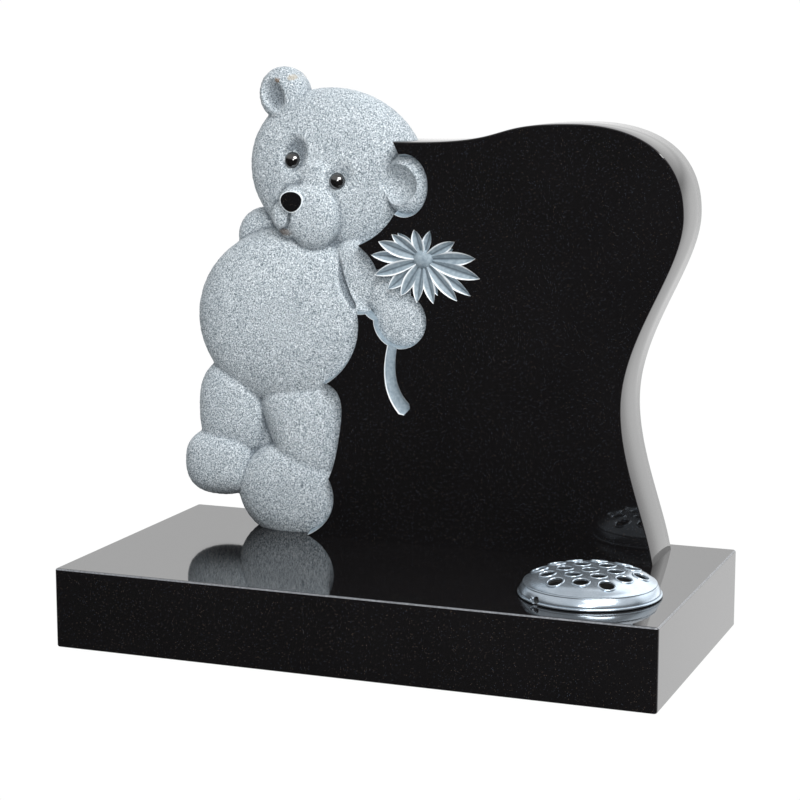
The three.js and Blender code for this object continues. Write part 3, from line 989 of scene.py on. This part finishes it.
def collarAt(index, x, y):
    seat, turn = seatAt(x, y)
    major, minor = lid["collar"]
    deselectAll()
    bpy.ops.mesh.primitive_torus_add(major_segments=40, minor_segments=12, major_radius=major * mm,
                                     minor_radius=minor * mm)
    collar = bpy.context.object
    collar.name = f"collar{index}"
    collar.rotation_euler = turn
    collar.location = (seat - Vector((0, 0, lid["collarSink"]))) * mm
    applyPlace(collar)
    return collar


# the strip left by the notch, curled up at its left end
def curledTab():
    tab = lid["tab"]
    angle = tab["angle"]
    reach = (lid["radius"] - tab["inset"]) * mm
    deselectAll()
    bpy.ops.mesh.primitive_torus_add(major_segments=24, minor_segments=12, major_radius=tab["curl"] * mm,
                                     minor_radius=tab["wire"] * mm, rotation=(0, math.pi / 2, angle))
    curl = bpy.context.object
    curl.name = "curledTab"
    curl.location = (reach * math.cos(angle), reach * math.sin(angle), tab["height"] * mm)
    applyPlace(curl)
    return curl


def rimNotch():
    deep, wide, high = lid["notch"]
    angle = lid["notchAngle"]
    reach = lid["radius"] * mm
    deselectAll()
    bpy.ops.mesh.primitive_cylinder_add(vertices=32, radius=wide / 2 * mm, depth=deep * mm,
                                        rotation=(0, math.pi / 2, angle))
    notch = bpy.context.object
    notch.location = (reach * math.cos(angle), reach * math.sin(angle), (high - wide / 2 - 0.4) * mm)
    applyPlace(notch)
    return notch


def drillAt(x, y):
    seat, turn = seatAt(x, y)
    deselectAll()
    bpy.ops.mesh.primitive_cylinder_add(vertices=40, radius=lid["bore"] * mm, depth=12 * mm,
                                        location=seat * mm, rotation=turn)
    return bpy.context.object


def spunLid():
    dome = turnProfile("spunLid", [(r * mm, z * mm) for r, z in lidProfile()], lid["steps"], True)
    holes = lidHoles()
    collars = [collarAt(index, *place) for index, place in enumerate(holes)]
    combine(dome, joinAll(collars, "collars"), "UNION")
    drills = [drillAt(*place) for place in holes]
    combine(dome, joinAll(drills, "drills"), "DIFFERENCE")
    combine(dome, rimNotch(), "DIFFERENCE")
    combine(dome, curledTab(), "UNION")
    dome.location = (*potMiddle, footZ)
    applyPlace(dome)
    makeActive(dome)
    bpy.ops.object.shade_smooth_by_angle(angle=math.radians(38))
    dome.data.materials.clear()
    dome.data.materials.append(spunMetal("lidMetal", *lid["roughness"], lid["dark"], lid["light"]))
    print("lid:", triangles(dome), "triangles")
    return dome


for piece, node, slot in ((slabBase(), "base_slab", "base_granite"),
                          (spunPot(), "flower_pot", "pot_metal"),
                          (spunLid(), "pot_lid", "lid_metal")):
    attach(piece, "root")
    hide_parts(node)
print("base, pot and lid done")


# camera, floor and light
view = {"at": (0.75874, -1.97976, 0.59893), "pitch": 0.167056, "yaw": 0.366712, "lens": 97.67}


def addCamera():
    deselectAll()
    bpy.ops.object.camera_add(location=view["at"], rotation=(math.pi / 2 - view["pitch"], 0, view["yaw"]))
    camera = bpy.context.object
    camera.data.sensor_width = 36.0
    camera.data.lens = view["lens"]
    camera.data.clip_end = 50.0
    bpy.context.scene.camera = camera


def addFloor():
    deselectAll()
    bpy.ops.mesh.primitive_plane_add(size=8.0)
    floor = bpy.context.object
    floor.name = "floor"
    f = Finish("paleFloor")
    floor.data.materials.append(f.feed(baseColor=(0.5, 0.5, 0.5), roughness=0.9))
    floor.visible_glossy = False
    floor.visible_camera = False


def addLight(name, at, target, size, power):
    deselectAll()
    bpy.ops.object.light_add(type="AREA", location=at)
    lamp = bpy.context.object
    lamp.name = name
    lamp.data.shape = "RECTANGLE"
    lamp.data.size, lamp.data.size_y = size
    lamp.data.energy = power
    lamp.rotation_euler = (Vector(target) - Vector(at)).to_track_quat("-Z", "Y").to_euler()
    lamp.visible_camera = False


# a white cove behind, brighter to the right, and darkness in front
studio = {"back": 1.05, "lowRight": 0.9, "above": 0.6, "front": 0.02}


def addSurroundings():
    sky = Sky("studio")
    x, y, z = (sky.axis(letter) for letter in "XYZ")
    behind = sky.step(y, 0.2, 0.55) * sky.step(z, 0.17, 0.29, 0.94, 1.3)
    sideways = sky.step(x, 0.0, 0.45, 0.0, studio["lowRight"]) * sky.step(z, 0.0, 0.25, 1.0, 0.0)
    above = sky.step(z, 0.2, 0.5, 0.0, studio["above"]) * sky.step(z, 0.75, 0.97, 1.0, 0.8)
    leftward = sky.step(x, 0.1, -0.35, 0.0, 0.7) * sky.step(z, 0.3, 0.5)
    cove = behind * (1.0 - leftward)
    glow = cove * (sideways + studio["back"]) + above + studio["front"]
    bpy.context.scene.world = sky.feed(color=(1.0, 1.0, 1.0), strength=glow)


lamps = {
    "keyLight": {"at": (1.35, -1.5, 2.2), "target": (0, 0, 0.3), "size": (1.6, 1.2), "power": 72},
    "fillLight": {"at": (0.7, -2.4, 1.2), "target": (-0.1, 0, 0.25), "size": (0.8, 0.5), "power": 17},
}
bpy.context.scene.view_settings.view_transform = "Standard"
addCamera()
addFloor()
addSurroundings()
for lampName, lamp in lamps.items():
    addLight(lampName, **lamp)
print("camera, floor and light done")
